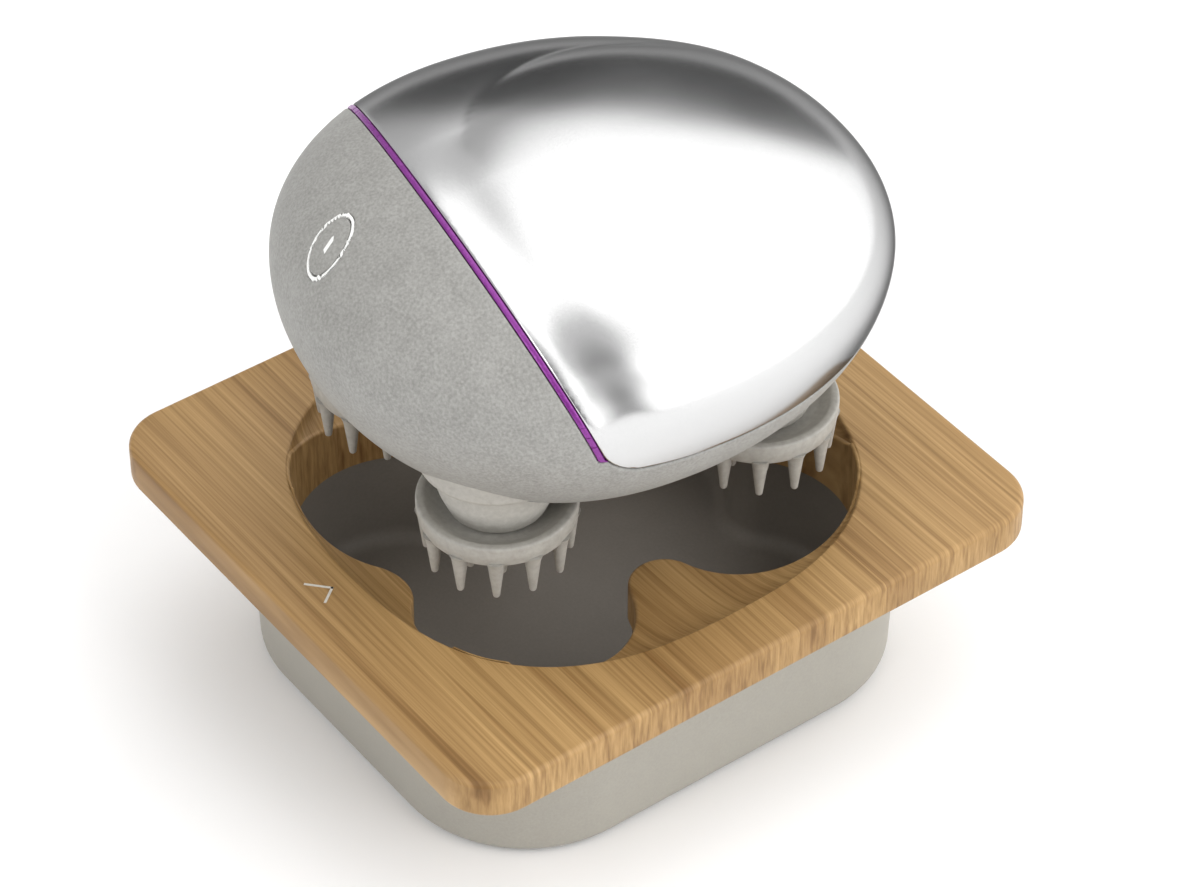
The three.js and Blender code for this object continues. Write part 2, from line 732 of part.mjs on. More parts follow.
const stand = new THREE.Group();
const massager = new THREE.Group();
massager.position.z = PLATE_TOP + HOVER;
massager.rotation.z = YAW;

function add(group, name, shape, material) {
  const mesh = new THREE.Mesh(geometryOf(shape), material());
  mesh.name = name;
  group.add(mesh);
}

add(stand, 'bamboo_plate', bambooPlate(), MATERIAL.bamboo);
add(stand, 'stand_box', standBox(), MATERIAL.greyCase);
add(stand, 'well_tray', wellTray(), MATERIAL.greyCase);
const footX = BOX.x / 2 - FOOT.inset;
const footY = BOX.y / 2 - FOOT.inset;
[[-footX, -footY], [footX, -footY], [footX, footY], [-footX, footY]].forEach(([x, y], i) =>
  add(stand, `stand_foot_${i + 1}`, standFoot(x, y), MATERIAL.rubber),
);

add(massager, 'top_shell', topShell(), MATERIAL.silver);
add(massager, 'body_shell', bodyShell(), MATERIAL.greyBody);
add(massager, 'accent_strip', accentStrip(), MATERIAL.purple);
add(massager, 'base_plate', basePlate(), MATERIAL.greyBody);
add(massager, 'base_gasket', baseGasket(), MATERIAL.rubber);
add(massager, 'power_button', powerButton(), MATERIAL.greyBody);
add(massager, 'button_ring', buttonRing(), MATERIAL.white);
add(massager, 'power_switch', powerSwitch(), MATERIAL.rubber);
add(massager, 'charge_port_plug', portPlug(), MATERIAL.silicone);
add(massager, 'charge_socket', chargeSocket(), MATERIAL.steel);
add(massager, 'circuit_board', circuitBoard(), MATERIAL.board);
add(massager, 'battery_cell', batteryCell(), MATERIAL.cell);
add(massager, 'gear_deck', gearDeck(), MATERIAL.nylon);
add(massager, 'motor', motorCan(), MATERIAL.steel);
add(massager, 'motor_pinion', motorPinion(), MATERIAL.steel);
add(massager, 'compound_gear', compoundGear(), MATERIAL.nylon);
add(massager, 'compound_axle', axle(AXLE.compound, COMPOUND_Y), MATERIAL.steel);
add(massager, 'sun_gear', sunGear(), MATERIAL.nylon);
add(massager, 'sun_axle', axle(AXLE.sun, 0), MATERIAL.steel);
postPlaces().forEach(([x, y], i) => add(massager, `base_screw_${i + 1}`, baseScrew(x, y), MATERIAL.steel));
HEAD_AXES.forEach(([x, y], i) => {
  add(massager, `head_collar_${i + 1}`, headCollar(x, y), MATERIAL.greyBody);
  add(massager, `shaft_seal_${i + 1}`, shaftSeal(x, y), MATERIAL.rubber);
  add(massager, `head_shaft_${i + 1}`, headShaft(x, y), MATERIAL.steel);
  add(massager, `head_gear_${i + 1}`, headGear(x, y), MATERIAL.nylon);
  add(massager, `bristle_head_${i + 1}`, bristleHead(x, y), MATERIAL.silicone);
});

const product = new THREE.Group();
product.add(stand, massager);

export default product;
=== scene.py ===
"""Looks of a four-head scalp massager that hovers over its bamboo stand.

Lengths in the constants are millimetres, as in the CAD model. The massager's pieces are made in its own
axes, measured from the plane of its bristle tips, and then placed as the CAD has it.
"""
import json
import math

import bpy
import numpy as np
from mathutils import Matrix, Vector


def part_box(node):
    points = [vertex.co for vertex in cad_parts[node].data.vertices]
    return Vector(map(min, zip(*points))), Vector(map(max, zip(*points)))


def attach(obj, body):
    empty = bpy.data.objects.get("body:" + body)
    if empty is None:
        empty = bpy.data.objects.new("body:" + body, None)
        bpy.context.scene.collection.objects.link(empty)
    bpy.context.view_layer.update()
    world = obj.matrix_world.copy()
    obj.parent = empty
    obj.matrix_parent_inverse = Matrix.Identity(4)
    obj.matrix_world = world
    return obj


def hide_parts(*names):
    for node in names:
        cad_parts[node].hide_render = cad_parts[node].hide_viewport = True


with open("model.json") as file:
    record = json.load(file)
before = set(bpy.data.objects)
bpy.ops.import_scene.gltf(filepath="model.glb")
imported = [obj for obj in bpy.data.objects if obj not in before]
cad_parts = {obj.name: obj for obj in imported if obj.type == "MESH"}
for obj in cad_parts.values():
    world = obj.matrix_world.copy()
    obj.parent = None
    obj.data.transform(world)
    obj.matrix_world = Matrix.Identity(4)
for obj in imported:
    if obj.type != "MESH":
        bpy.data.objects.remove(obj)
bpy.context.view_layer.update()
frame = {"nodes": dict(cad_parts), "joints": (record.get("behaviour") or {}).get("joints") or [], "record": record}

MM = 0.001


def box_mm(node):
    low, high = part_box(node)
    return np.array(low) / MM, np.array(high) / MM


# ---------------------------------------------------------------- dimensions

GAP = 0.3
VISIBLE_GAP = 0.12  # parting lines are finer here than between the CAD solids

PLATE_LOW, PLATE_HIGH = box_mm("bamboo_plate")
PLATE_TOP = PLATE_HIGH[2]
PLATE = {"half": PLATE_HIGH[:2], "corner": 10, "thickness": 8 - GAP, "edge": 1.1}
BOX_LOW, BOX_HIGH = box_mm("stand_box")
BOX = {"half": BOX_HIGH[:2], "corner": 26.5, "wall": 2, "floor": 1.5, "draft": 1, "edge": 2.2}
PLUG_CLEARANCE = 0.4
DISH = {"half": np.array([46.6, 48.0]), "power": 2.6, "depth": 8.3, "drop": 6, "edge": 0.6}
LOBE = {"x": 19, "y": 24.8, "radius": 19.6, "tip_x": 20.7, "tip_y": 37}
TRAY = {"step": 0.8, "wall": 1.2, "floor": 1.4, "flange": 1.2, "fillet": 3.2}

YAW = math.radians(-7)
LIFT = box_mm("bristle_head_1")[0][2]
BODY = {
    "half_width": 50.4, "front": 50.2, "back": 57.7, "equator": 41.8, "above": 24, "below": 36,
    "plan_power": 2.12, "upper_power": 2.065, "lower_power": 1.925,
    "offset_y": -1.3, "lean": 0.094, "tilt": -0.028,
}
SEAM = {
    "slope": 0.386, "skew": math.radians(3.4), "offset": -3.7,
    "strip": 1.0, "corner": 5.5, "strip_end": 3.6,
}
BELT_Z = 34.5
COVER_Z = 18.4
BASE_Z = 14.4
FAR = 99  # a distance beyond every piece
COLLAR = {"low": 11, "low_radius": 8.6, "radius": 10.6, "boss": 13.85, "boss_low": 22.1, "top": 31}
HEAD = {"rim": 14.1, "rim_top": 12.5, "low": 8, "floor": 10.2}
BRISTLES = {"outer": 12, "outer_radius": 12.4, "inner": 8, "inner_radius": 7.6, "base": 1.45, "tip": 0.6}
BUTTON = {
    "centre": np.array([-6.4, -43.2, 55.4]), "axis": np.array([-0.062, -0.600, 0.798]),
    "reach": 15, "radius": 5.7, "ring": 0.6, "narrow": 0.62, "lean": math.radians(-28), "play": 0.18,
}
DASH = {"half_length": 1.5, "half_width": 0.42, "slant": math.radians(8), "margin": 0.8}
PORT = {"half_x": 6, "half_z": 3.5, "z": 27.1, "corner": 1.6}
SCREWS = {"x": 26.6, "y": 9.5, "radius": 2.7}


# ---------------------------------------------------------------- placing and meshes

def turned_by(points, angle):
    cosine, sine = math.cos(angle), math.sin(angle)
    x, y, z = points.T
    return np.stack([x * cosine - y * sine, x * sine + y * cosine, z], axis=1)


def placed(points):
    """From the massager's own axes to the frame's."""
    return turned_by(points, YAW) + np.array([0, 0, LIFT])


def massager_axes(position_m):
    point = np.array([position_m], dtype=float) / MM
    return turned_by(point - np.array([0, 0, LIFT]), -YAW)[0]


JOINTS = {joint["name"]: joint for joint in frame["joints"]}
HEAD_AXES = [massager_axes(JOINTS[f"head_spin_{i}"]["pos_m"])[:2] for i in range(1, 5)]


def mesh_object(name, points, faces, material, body, nodes=(), sharp=40):
    """A smooth-shaded mesh from points in millimetres, riding on a body in place of the nodes."""
    mesh = bpy.data.meshes.new(name)
    mesh.from_pydata((np.asarray(points) * MM).tolist(), [], [list(map(int, face)) for face in faces])
    mesh.update()
    mesh.polygons.foreach_set("use_smooth", [True] * len(mesh.polygons))
    mesh.set_sharp_from_angle(angle=math.radians(sharp))
    mesh.materials.append(material)
    piece = bpy.data.objects.new(name, mesh)
    bpy.context.scene.collection.objects.link(piece)
    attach(piece, body)
    if nodes:
        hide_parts(*nodes)
    return piece


def loft(rings, closed=False, cap_first=False, cap_last=False):
    """Quads between rings of equal length. A closed loft joins its last ring to its first."""
    around = len(rings[0])
    points = np.concatenate(rings)
    faces = []
    count = len(rings)
    for ring in range(count if closed else count - 1):
        here = ring * around
        there = ((ring + 1) % count) * around
        for i in range(around):
            j = (i + 1) % around
            faces.append((here + i, here + j, there + j, there + i))
    if cap_first:
        faces.append(tuple(reversed(range(around))))
    if cap_last:
        faces.append(tuple(range((count - 1) * around, count * around)))
    return points, faces


def rounded(profile, steps=5):
    """Polyline of corners (a, b, setback); each corner becomes a short curve that starts the setback away."""
    line = []
    last = len(profile) - 1
    for i, (a, b, setback) in enumerate(profile):
        corner = np.array([a, b], dtype=float)
        if setback == 0 or i in (0, last):
            line.append(corner)
            continue
        before = np.array(profile[i - 1][:2], dtype=float) - corner
        after = np.array(profile[i + 1][:2], dtype=float) - corner
        start = corner + before / np.linalg.norm(before) * setback
        end = corner + after / np.linalg.norm(after) * setback
        for t in np.linspace(0, 1, steps + 1):
            line.append(start * (1 - t) ** 2 + corner * 2 * t * (1 - t) + end * t**2)
    return line


def circle(radius, z, steps, centre):
    angle = np.linspace(0, 2 * np.pi, steps, endpoint=False)
    x = centre[0] + radius * np.cos(angle)
    y = centre[1] + radius * np.sin(angle)
    return np.stack([x, y, np.full(steps, z)], axis=1)


def turned(profile, centre, steps):
    """Turned solid about a vertical axis from a rounded (radius, z) profile."""
    rings = [circle(radius, z, steps, centre) for radius, z in rounded(profile)]
    return loft(rings, cap_first=True, cap_last=True)


def joined(parts):
    points, faces, offset = [], [], 0
    for part_points, part_faces in parts:
        points.append(part_points)
        faces.extend(tuple(index + offset for index in face) for face in part_faces)
        offset += len(part_points)
    return np.concatenate(points), faces


# ---------------------------------------------------------------- materials

def srgb(red, green, blue):
    """Linear colour from sRGB numbers out of 255."""
    channels = [channel / 255 for channel in (red, green, blue)]
    linear = [c / 12.92 if c <= 0.04045 else ((c + 0.055) / 1.055) ** 2.4 for c in channels]
    return (*linear, 1)


class Nodes:
    """A material's node tree with short ways to add nodes and links."""

    def __init__(self, name):
        self.material = bpy.data.materials.new(name)
        self.material.use_nodes = True
        self.tree = self.material.node_tree
        self.shader = self.tree.nodes["Principled BSDF"]

    def add(self, kind, inputs=None, **settings):
        node = self.tree.nodes.new(kind)
        for key, value in settings.items():
            setattr(node, key, value)
        for key, value in (inputs or {}).items():
            self.feed(node.inputs[key], value)
        return node

    def feed(self, socket, value):
        if isinstance(value, bpy.types.NodeSocket):
            self.tree.links.new(value, socket)
        else:
            socket.default_value = value

    def place(self, scale=(1, 1, 1)):
        """Object coordinates in metres, stretched by scale."""
        coordinates = self.add("ShaderNodeTexCoord").outputs["Object"]
        return self.add("ShaderNodeMapping", {"Vector": coordinates, "Scale": scale}).outputs["Vector"]

    def noise(self, vector, scale, detail=3, roughness=0.5):
        inputs = {"Vector": vector, "Scale": scale, "Detail": detail, "Roughness": roughness}
        return self.add("ShaderNodeTexNoise", inputs).outputs["Fac"]

    def ramp(self, value, *stops):
        node = self.add("ShaderNodeValToRGB", {"Fac": value})
        elements = node.color_ramp.elements
        while len(elements) < len(stops):
            elements.new(0.5)
        for element, (position, color) in zip(elements, stops):
            element.position = position
            element.color = color
        return node.outputs["Color"]

    def math(self, operation, a, b=0.0):
        node = self.add("ShaderNodeMath", operation=operation)
        self.feed(node.inputs[0], a)
        self.feed(node.inputs[1], b)
        return node.outputs["Value"]

    def remap(self, value, low, high, to_low, to_high):
        inputs = {"Value": value, "From Min": low, "From Max": high, "To Min": to_low, "To Max": to_high}
        return self.add("ShaderNodeMapRange", inputs).outputs["Result"]

    def blend(self, factor, a, b, mode="MIX"):
        node = self.add("ShaderNodeMix", data_type="RGBA", blend_type=mode)
        self.feed(node.inputs["Factor"], factor)
        self.feed(node.inputs["A"], a)
        self.feed(node.inputs["B"], b)
        return node.outputs["Result"]

    def bump(self, height, strength, distance):
        inputs = {"Height": height, "Strength": strength, "Distance": distance}
        self.feed(self.shader.inputs["Normal"], self.add("ShaderNodeBump", inputs).outputs["Normal"])

    def set(self, **values):
        for key, value in values.items():
            self.feed(self.shader.inputs[key.replace("_", " ")], value)
        return self.material


def speckled(name, dark, light, grain, roughness, bump=0.15):
    """Moulded surface with fine mottling of about the grain's size, in metres."""
    nodes = Nodes(name)
    place = nodes.place()
    fine = nodes.noise(place, 1 / grain, 2, 0.6)
    broad = nodes.noise(place, 0.12 / grain, 3)
    mixed = nodes.math("ADD", nodes.math("MULTIPLY", fine, 0.75), nodes.math("MULTIPLY", broad, 0.25))
    color = nodes.ramp(mixed, (0.3, dark), (0.7, light))
    nodes.bump(fine, bump, grain * 0.25)
    rough = nodes.remap(fine, 0.3, 0.7, roughness - 0.05, roughness + 0.05)
    return nodes.set(Base_Color=color, Roughness=rough)


STRIP_WIDTH = 0.0064  # of the bamboo, in metres


def bamboo():
    """Pressed strips along X, each with its own tone, long fibres and a few darker streaks."""
    nodes = Nodes("bamboo")
    coordinates = nodes.add("ShaderNodeTexCoord").outputs["Object"]
    split = nodes.add("ShaderNodeSeparateXYZ", {"Vector": coordinates})
    waver = nodes.noise(nodes.place((0.25, 1, 1)), 60, 2)
    y = nodes.math("ADD", split.outputs["Y"], nodes.math("MULTIPLY", waver, 0.0002))
    strip = nodes.math("FLOOR", nodes.math("DIVIDE", y, STRIP_WIDTH))
    tone = nodes.add("ShaderNodeTexWhiteNoise", {"W": strip}, noise_dimensions="1D").outputs["Value"]
    shift = nodes.add("ShaderNodeCombineXYZ", {"X": tone, "Y": 0.0, "Z": tone})
    moved = nodes.add("ShaderNodeVectorMath", {0: coordinates, 1: shift.outputs["Vector"]}, operation="ADD")
    stretch = nodes.add("ShaderNodeMapping", {"Vector": moved.outputs["Vector"], "Scale": (0.012, 1, 0.1)})
    fibres = nodes.noise(stretch.outputs["Vector"], 1500, 3, 0.6)
    streak_inputs = {"Vector": moved.outputs["Vector"], "Scale": (0.02, 1, 0.2)}
    streak_place = nodes.add("ShaderNodeMapping", streak_inputs)
    streaks = nodes.noise(streak_place.outputs["Vector"], 520, 2, 0.5)
    clouds = nodes.noise(nodes.place((0.15, 1, 0.6)), 60, 2)
    base = nodes.ramp(
        fibres, (0.3, srgb(152, 119, 74)), (0.5, srgb(176, 141, 92)), (0.72, srgb(196, 160, 109))
    )
    tint = nodes.ramp(tone, (0.0, srgb(226, 220, 210)), (1.0, srgb(255, 255, 252)))
    toned = nodes.blend(0.85, base, tint, "MULTIPLY")
    dark = nodes.ramp(streaks, (0.28, srgb(186, 168, 142)), (0.44, (1, 1, 1, 1)))
    streaked = nodes.blend(0.7, toned, dark, "MULTIPLY")
    cloud = nodes.ramp(clouds, (0.3, srgb(228, 222, 212)), (0.7, (1, 1, 1, 1)))
    color = nodes.blend(0.6, streaked, cloud, "MULTIPLY")
    nodes.bump(fibres, 0.16, 0.0002)
    rough = nodes.remap(fibres, 0.3, 0.7, 0.52, 0.4)
    return nodes.set(Base_Color=color, Roughness=rough, Specular_IOR_Level=0.35)


FLAKE = 0.00018  # grain of the metallic paints, in metres


def lacquer(name, dark, light, metallic, roughness, coat, edge_shade_tint=(1, 1, 1, 1)):
    """Metallic paint with fine flakes; the edge tint darkens it where it is seen at a grazing angle, which paints
    shade along a shell's edges in place of the darker reflections there.
    """
    nodes = Nodes(name)
    place = nodes.place()
    flakes = nodes.noise(place, 1 / FLAKE, 2, 0.6)
    broad = nodes.noise(place, 35, 2)
    color = nodes.ramp(flakes, (0.3, dark), (0.7, light))
    rough = nodes.remap(broad, 0.3, 0.7, roughness - 0.02, roughness + 0.03)
    nodes.bump(flakes, 0.012, 0.00005)
    return nodes.set(
        Base_Color=color, Roughness=rough, Metallic=metallic, Specular_Tint=edge_shade_tint,
        Coat_Weight=coat, Coat_Roughness=0.08,
    )


def turned_metal(name, dark, light, roughness=0.28):
    """Lathe-turned metal with fine level grooves."""
    nodes = Nodes(name)
    grooves = nodes.noise(nodes.place((0.05, 0.05, 1)), 6000, 2)
    stains = nodes.noise(nodes.place(), 250, 3)
    color = nodes.ramp(stains, (0.35, dark), (0.65, light))
    nodes.bump(grooves, 0.15, 0.00003)
    rough = nodes.remap(grooves, 0.3, 0.7, roughness - 0.06, roughness + 0.08)
    return nodes.set(Base_Color=color, Roughness=rough, Metallic=1.0)


MATERIALS = {
    "bamboo": bamboo(),
    "grey_case": speckled("grey_case", srgb(154, 150, 141), srgb(163, 159, 149), 0.0005, 0.5, 0.05),
    "well_grey": speckled("well_grey", srgb(122, 116, 108), srgb(130, 124, 116), 0.0006, 0.6, 0.05),
    "grey_body": speckled("grey_body", srgb(132, 131, 127), srgb(164, 163, 159), 0.00055, 0.6, 0.1),
    # The silver's dark edge tint is painted shade: it darkens the shell where it is seen at a grazing angle,
    # standing in for dark reflections along its edges.
    "silver": lacquer(
        "silver", srgb(204, 204, 204), srgb(218, 218, 218), 0.95, 0.2, coat=0.0, edge_shade_tint=srgb(92, 92, 92)
    ),
    "purple": lacquer("purple", srgb(112, 34, 122), srgb(146, 56, 154), 0.35, 0.3, coat=0.2),
    "silicone": speckled("silicone", srgb(150, 147, 140), srgb(170, 167, 160), 0.0012, 0.55, 0.06),
    "collar": speckled("collar", srgb(158, 155, 148), srgb(176, 173, 166), 0.001, 0.55, 0.06),
    "white_trim": speckled("white_trim", srgb(236, 236, 233), srgb(250, 250, 248), 0.0006, 0.45, 0.04),
    "rubber": speckled("rubber", srgb(34, 34, 34), srgb(52, 51, 50), 0.0007, 0.8, 0.2),
    "switch_black": speckled("switch_black", srgb(20, 20, 20), srgb(38, 38, 38), 0.0006, 0.5, 0.1),
    "nylon": speckled("nylon", srgb(214, 208, 192), srgb(232, 227, 214), 0.0008, 0.45, 0.08),
    "board": speckled("board", srgb(18, 78, 44), srgb(34, 104, 62), 0.0015, 0.35, 0.05),
    "cell": speckled("cell", srgb(38, 84, 142), srgb(54, 104, 166), 0.004, 0.35, 0.03),
    "steel": turned_metal("steel", srgb(168, 170, 174), srgb(198, 200, 204)),
}
MARK_GREY = speckled("mark_grey", srgb(196, 190, 178), srgb(214, 209, 198), 0.0006, 0.6, 0.03)


def dress_cad_nodes():
    """Gives every CAD node the procedural material of its slot."""
    for part in frame["record"]["subparts"]:
        node = frame["nodes"][part["node"]]
        node.data.materials.clear()
        node.data.materials.append(MATERIALS[part["material_slot"]])


# ---------------------------------------------------------------- stand

def cloverleaf(grow=0.0, per_mm=1.6):
    """Outline of the four-lobed opening and its normals, which point into the wood."""
    radius = LOBE["radius"] + grow
    tip_x = LOBE["tip_x"] + grow
    tip_y = LOBE["tip_y"] + grow

    def touching(along, across, tip):
        d = tip - along
        return (d * d + across * across - radius * radius) / (2 * (radius - d))

    rx = touching(LOBE["x"], LOBE["y"], tip_x)
    ry = touching(LOBE["y"], LOBE["x"], tip_y)
    from_x = math.atan2(LOBE["y"], LOBE["x"] - (tip_x + rx))
    from_y = math.atan2(LOBE["y"] - (tip_y + ry), LOBE["x"])
    arcs = [
        (tip_x + rx, 0, rx, math.pi, from_x, -1),
        (LOBE["x"], LOBE["y"], radius, from_x - math.pi, math.pi + from_y, 1),
        (0, tip_y + ry, ry, from_y, -math.pi / 2, -1),
    ]
    points, normals = [], []
    for cx, cy, r, start, end, outwards in arcs:
        steps = round(abs(end - start) * LOBE["radius"] / 19.6 * r * per_mm)
        for angle in np.linspace(start, end, steps, endpoint=False):
            direction = np.array([math.cos(angle), math.sin(angle)])
            points.append(np.array([cx, cy]) + r * direction)
            normals.append(direction * outwards)
    points.append(np.array([0, tip_y]))
    normals.append(np.array([0.0, 1.0]))
    quarter = np.array([np.concatenate(pair) for pair in zip(points, normals)])
    half = np.concatenate([quarter, quarter[-2::-1] * [-1, 1, -1, 1]])
    whole = np.concatenate([half, half[-2:0:-1] * [1, -1, 1, -1]])
    return whole[:, :2], whole[:, 2:]


def level(outline, z):
    return np.column_stack([outline, np.broadcast_to(z, len(outline))])


def rectangle_reach(directions, half, corner, inset):
    """Distance from the centre to a rounded rectangle along each direction."""
    ux, uy = np.abs(directions).T
    hx, hy = half[0] - inset, half[1] - inset
    c = corner - inset
    to_x = hx / np.maximum(ux, 1e-9)
    to_y = hy / np.maximum(uy, 1e-9)
    along = ux * (hx - c) + uy * (hy - c)
    to_corner = along + np.sqrt(np.maximum(0, along**2 - (hx - c) ** 2 - (hy - c) ** 2 + c**2))
    reach = np.where(to_x * uy <= hy - c, to_x, to_corner)
    return np.where(to_y * ux <= hx - c, to_y, reach)


def dish_share(points):
    """0 at the dish's centre and 1 on its rim."""
    power = DISH["power"]
    return (np.abs(points / DISH["half"]) ** power).sum(axis=1) ** (1 / power)


def box_inside(directions):
    clearance = BOX["wall"] + PLUG_CLEARANCE
    return rectangle_reach(directions, BOX["half"], BOX["corner"], clearance)[:, None] * directions


def bamboo_plate():
    edge, depth, outer = DISH["edge"], DISH["depth"], PLATE["edge"]
    outline, normals = cloverleaf()
    start = outline + normals * edge
    directions = start / np.linalg.norm(start, axis=1)[:, None]
    first = np.arccos(np.clip(dish_share(start) ** (DISH["drop"] / 2), -1, 1))
    edge_z = PLATE_TOP - depth * np.sin(first)
    rings = [level(outline, PLATE_LOW[2]), level(outline, edge_z - 2 * edge)]
    for angle in np.linspace(0, np.pi / 2, 5):
        side = outline + normals * edge * (1 - math.cos(angle))
        rings.append(level(side, edge_z - edge + edge * math.sin(angle)))
    last = math.asin(edge / depth)
    rim = directions / dish_share(directions)[:, None]
    for share in np.linspace(0.06, 1, 14):
        angle = first + (last - first) * share
        share_of_rim = (np.cos(angle) ** (2 / DISH["drop"]))[:, None]
        rings.append(level(rim * share_of_rim, PLATE_TOP - depth * np.sin(angle)))
    for angle in np.linspace(0, np.pi / 2, 6):
        reach = rim + directions * edge * (1 - math.cos(angle))
        rings.append(level(reach, PLATE_TOP - edge + edge * math.sin(angle)))
    under = PLATE_TOP - PLATE["thickness"]
    side = []
    for angle in np.linspace(0, np.pi / 2, 6):
        side.append((outer * (1 - math.sin(angle)), PLATE_TOP - outer + outer * math.cos(angle)))
    side += [(inset, under + PLATE_TOP - z) for inset, z in reversed(side)]
    for inset, z in side:
        reach = rectangle_reach(directions, PLATE["half"], PLATE["corner"], inset)
        rings.append(level(directions * reach[:, None], z))
    rings.append(level(box_inside(directions), under))
    rings.append(level(box_inside(directions), PLATE_LOW[2]))
    points, faces = loft(rings, closed=True)
    return mesh_object("bamboo_top", points, faces, MATERIALS["bamboo"], "stand", ["bamboo_plate"])


def rounded_rectangle(half, corner, inset, z, steps=20):
    points = []
    for quarter in range(4):
        sx = 1 if quarter in (0, 3) else -1
        sy = 1 if quarter < 2 else -1
        for angle in np.linspace(0, np.pi / 2, steps + 1) + quarter * np.pi / 2:
            x = sx * (half[0] - corner) + (corner - inset) * math.cos(angle)
            y = sy * (half[1] - corner) + (corner - inset) * math.sin(angle)
            points.append((x, y, z))
    return np.array(points)


def stand_box():
    low, high = BOX_LOW[2], BOX_HIGH[2]
    wall = BOX["wall"]
    profile = [
        (14, low, 0),
        (BOX["draft"], low, BOX["edge"]),
        (0, high, 0.4),
        (wall, high, 0.4),
        (wall + BOX["draft"], low + BOX["floor"], 1.5),
        (14, low + BOX["floor"], 0),
    ]
    rings = [rounded_rectangle(BOX["half"], BOX["corner"], inset, z) for inset, z in rounded(profile, 7)]
    points, faces = loft(rings, cap_first=True, cap_last=True)
    return mesh_object("stand_case", points, faces, MATERIALS["grey_case"], "stand", ["stand_box"])


def well_tray():
    low, high = (box_mm("well_tray")[i][2] for i in (0, 1))
    inside, normals = cloverleaf(TRAY["step"])
    directions = inside / np.linalg.norm(inside, axis=1)[:, None]
    fillet = TRAY["fillet"]
    floor = low + TRAY["floor"]
    rings = []
    for angle in np.linspace(0, np.pi / 2, 8):
        side = inside - normals * fillet * (1 - math.sin(angle))
        rings.append(level(side, floor + fillet * (1 - math.cos(angle))))
    rings += [level(inside, high), level(box_inside(directions), high)]
    rings.append(level(box_inside(directions), high - TRAY["flange"]))
    outside = inside + normals * TRAY["wall"]
    rings += [level(outside, high - TRAY["flange"]), level(outside, low)]
    points, faces = loft(rings, cap_first=True, cap_last=True)
    return mesh_object("well_liner", points, faces, MATERIALS["well_grey"], "stand", ["well_tray"])


def stand_feet():
    for i in range(1, 5):
        low, high = box_mm(f"stand_foot_{i}")
        centre = (low + high) / 2
        radius = (high[0] - low[0]) / 2
        profile = [(1, low[2], 0), (radius, low[2], 0.3), (radius, high[2], 0.2), (1, high[2], 0)]
        points, faces = turned(profile, centre[:2], 48)
        mesh_object(f"foot_pad_{i}", points, faces, MATERIALS["rubber"], "stand", [f"stand_foot_{i}"])


def front_mark():
    """Thin chevron printed on the bamboo at the middle of its front edge."""
    unit = PLATE["half"][0]
    tip = np.array([0.01, -0.914]) * unit
    ends = [np.array([-0.055, -0.973]) * unit, np.array([0.051, -0.968]) * unit]
    width, height, sunk = 0.45, 0.06, 0.1
    parts = []
    for end in ends:
        along = (end - tip) / np.linalg.norm(end - tip)
        across = np.array([-along[1], along[0]]) * width / 2
        start = tip - along * width / 2
        corners = np.array([start + across, start - across, end - across, end + across])
        rings = [level(corners, PLATE_TOP - sunk), level(corners, PLATE_TOP + height)]
        parts.append(loft(rings, cap_first=True, cap_last=True))
    points, faces = joined(parts)
    piece = mesh_object("front_chevron", points, faces, MARK_GREY, "stand")


# ---------------------------------------------------------------- massager's skin

def power_of(value, exponent):
    return np.sign(value) * np.abs(value) ** exponent


def form_mesh(around=288, rows=168):
    """The body's closed egg-like form as points and triangles."""
    t = np.linspace(-np.pi / 2, np.pi / 2, rows + 1)[1:-1, None]
    angle = np.linspace(0, 2 * np.pi, around, endpoint=False)[None, :]
    e = np.where(t >= 0, BODY["upper_power"], BODY["lower_power"])
    k = np.cos(t) ** (2 / e)
    rise = np.where(t >= 0, BODY["above"], BODY["below"]) * power_of(np.sin(t), 2 / e)
    x = BODY["half_width"] * k * power_of(np.cos(angle), 2 / BODY["plan_power"])
    reach = np.where(np.sin(angle) > 0, BODY["back"], BODY["front"])
    along = reach * k * power_of(np.sin(angle), 2 / BODY["plan_power"])
    lift = rise + BODY["tilt"] * along
    y = along + BODY["lean"] * lift + BODY["offset_y"]
    grid = np.stack([x, y, BODY["equator"] + lift], axis=-1).reshape(-1, 3)
    poles = []
    for rise in (-BODY["below"], BODY["above"]):
        poles.append([0, BODY["lean"] * rise + BODY["offset_y"], BODY["equator"] + rise])
    points = np.concatenate([grid, poles])
    bottom, top = len(grid), len(grid) + 1
    i = np.arange(around)
    j = (i + 1) % around
    triangles = []
    for row in range(rows - 2):
        low, high = row * around, (row + 1) * around
        triangles.append(np.stack([low + i, low + j, high + i], axis=1))
        triangles.append(np.stack([low + j, high + j, high + i], axis=1))
    last = (rows - 2) * around
    triangles.append(np.stack([np.full(around, bottom), j, i], axis=1))
    triangles.append(np.stack([np.full(around, top), last + i, last + j], axis=1))
    return points, np.concatenate(triangles)


def form_value(points):
    """Zero on the form's surface and growing outwards."""
    x, y, z = points.T
    lift = z - BODY["equator"]
    along = y - BODY["offset_y"] - BODY["lean"] * lift
    rise = lift - BODY["tilt"] * along
    across = np.abs(x / BODY["half_width"]) ** BODY["plan_power"]
    lengthwise = np.abs(along / np.where(along > 0, BODY["back"], BODY["front"])) ** BODY["plan_power"]
    k = (across + lengthwise) ** (1 / BODY["plan_power"])
    e = np.where(rise > 0, BODY["upper_power"], BODY["lower_power"])
    return k**e + np.abs(rise / np.where(rise > 0, BODY["above"], BODY["below"])) ** e


def form_normal(points):
    step = 0.05
    slopes = []
    for axis in range(3):
        offset = np.zeros(3)
        offset[axis] = step
        slopes.append(form_value(points + offset) - form_value(points - offset))
    normal = np.stack(slopes, axis=1)
    return normal / np.linalg.norm(normal, axis=1)[:, None]


def behind_seam(points):
    x, y, z = points.T
    lean, skew = math.atan(SEAM["slope"]), SEAM["skew"]
    back = x * math.sin(skew) + (y - SEAM["offset"]) * math.cos(skew)
    return back * math.cos(lean) + z * math.sin(lean)


def smallest(*values):
    return np.minimum.reduce(values)


